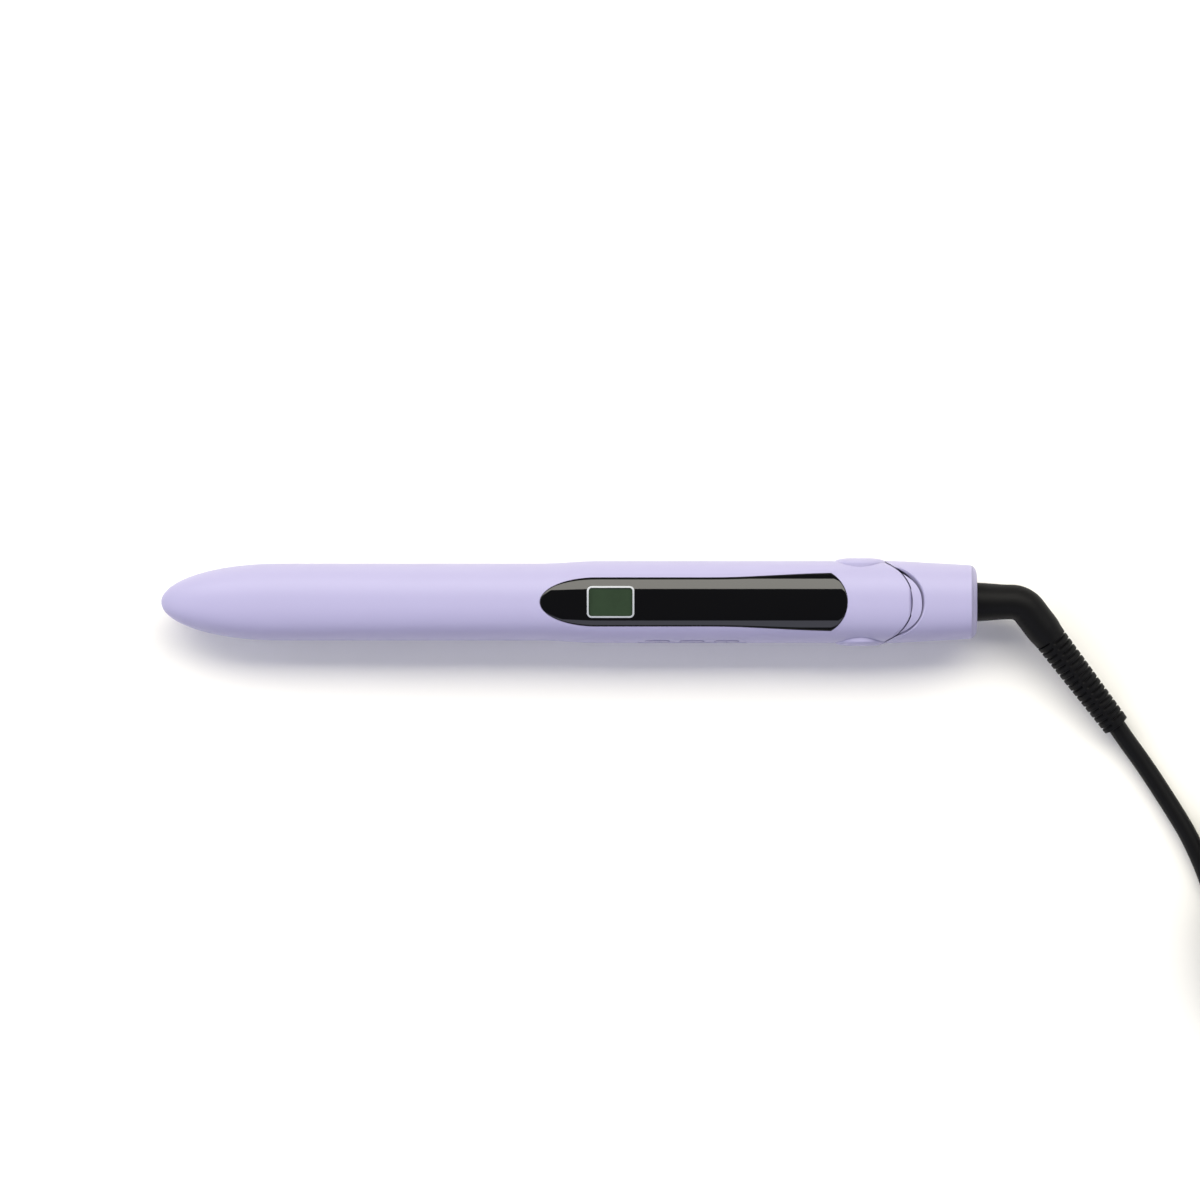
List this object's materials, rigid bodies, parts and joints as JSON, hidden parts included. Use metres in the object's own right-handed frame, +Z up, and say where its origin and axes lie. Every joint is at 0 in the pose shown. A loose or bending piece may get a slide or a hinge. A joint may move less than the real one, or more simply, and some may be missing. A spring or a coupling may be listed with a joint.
{
  "type": "hair straightener",
  "caption": "Slim hinged hair straightening iron with floating heated plates, a black display window, side buttons and a swivelling mains cord.",
  "frame": {"origin": "centre of the base face of the closed iron's box, cord set left out, on the surface it lies on", "axes": "+X from the tips towards the cord, +Z up through the display window, +Y to the left of the cord end"},
  "size_m": [0.4695, 0.1754, 0.0333],
  "materials": {
    "soft_lilac": "soft-touch satin",
    "window_black": "gloss",
    "display_frame": "satin",
    "display_glass": "gloss",
    "inner_black": "satin",
    "holder_white": "matte",
    "board_green": "satin",
    "switch_grey": "matte",
    "button_grey": "satin",
    "plate_coating": "satin ceramic coating",
    "steel": "brushed",
    "brass": "polished",
    "ceramic": "matte ceramic",
    "lead_red": "satin",
    "sensor_resin": "gloss",
    "carrier_grey": "matte",
    "rubber_black": "matte",
    "cord_black": "satin",
    "tie_fabric": "woven",
    "plug_black": "satin"
  },
  "bodies": {
    "lower_arm": {"lower_casing": "soft_lilac", "lower_inner_cover": "inner_black", "lower_plate_carrier": "carrier_grey", "lower_plate_springs": "steel", "lower_cover_screws": "steel", "lower_heater_leads": "lead_red", "rear_collar": "soft_lilac", "collar_end_ring": "soft_lilac", "hinge_pin": "steel", "hinge_cap_left": "soft_lilac", "hinge_cap_right": "soft_lilac", "hinge_spring": "steel", "swivel_retainer": "carrier_grey", "contact_leaves": "brass"},
    "upper_arm": {"upper_casing": "soft_lilac", "display_window": "window_black", "lcd_frame": "display_frame", "lcd_panel": "display_glass", "lcd_holder": "holder_white", "control_board": "board_green", "board_screws": "steel", "board_switches": "switch_grey", "button_bezel": "soft_lilac", "upper_inner_cover": "inner_black", "upper_plate_carrier": "carrier_grey", "upper_plate_springs": "steel", "upper_cover_screws": "steel", "upper_heater_leads": "lead_red"},
    "upper_float": {"upper_plate": "plate_coating", "upper_heating_element": "ceramic", "upper_heater_clamp": "steel", "upper_sensor": "sensor_resin"},
    "lower_float": {"lower_plate": "plate_coating", "lower_heating_element": "ceramic", "lower_heater_clamp": "steel", "lower_sensor": "sensor_resin"},
    "power_key": {"power_button": "button_grey"},
    "temp_up_key": {"temp_up_button": "button_grey"},
    "temp_down_key": {"temp_down_button": "button_grey"},
    "cord_set": {"cord_elbow": "rubber_black", "swivel_core": "brass", "slip_rings": "brass", "cord": "cord_black", "cord_coil": "cord_black", "coil_tie": "tie_fabric", "plug_body": "plug_black", "plug_pins": "steel"}
  },
  "joints": [
    {"name": "arm_hinge", "type": "hinge", "parent": "lower_arm", "child": "upper_arm", "pos_m": [0.1035, 0, 0.015], "axis": [0, 1, 0], "range_deg": [0, 14]},
    {"name": "upper_plate_float", "type": "slide", "parent": "upper_arm", "child": "upper_float", "axis": [0, 0, 1], "range_m": [0, 0.001], "stiffness_N_per_m": 800, "springref_m": -0.002, "deforming": ["upper_plate_springs"]},
    {"name": "lower_plate_float", "type": "slide", "parent": "lower_arm", "child": "lower_float", "axis": [0, 0, -1], "range_m": [0, 0.001], "stiffness_N_per_m": 800, "springref_m": -0.002, "deforming": ["lower_plate_springs"]},
    {"name": "power_press", "type": "slide", "parent": "upper_arm", "child": "power_key", "axis": [0, 1, 0], "range_m": [0, 0.0006], "stiffness_N_per_m": 1500, "springref_m": -0.0006},
    {"name": "temp_up_press", "type": "slide", "parent": "upper_arm", "child": "temp_up_key", "axis": [0, 1, 0], "range_m": [0, 0.0006], "stiffness_N_per_m": 1500, "springref_m": -0.0006},
    {"name": "temp_down_press", "type": "slide", "parent": "upper_arm", "child": "temp_down_key", "axis": [0, 1, 0], "range_m": [0, 0.0006], "stiffness_N_per_m": 1500, "springref_m": -0.0006},
    {"name": "cord_swivel", "type": "hinge", "parent": "lower_arm", "child": "cord_set", "pos_m": [0.1435, 0, 0.015], "axis": [1, 0, 0], "continuous": true}
  ]
}
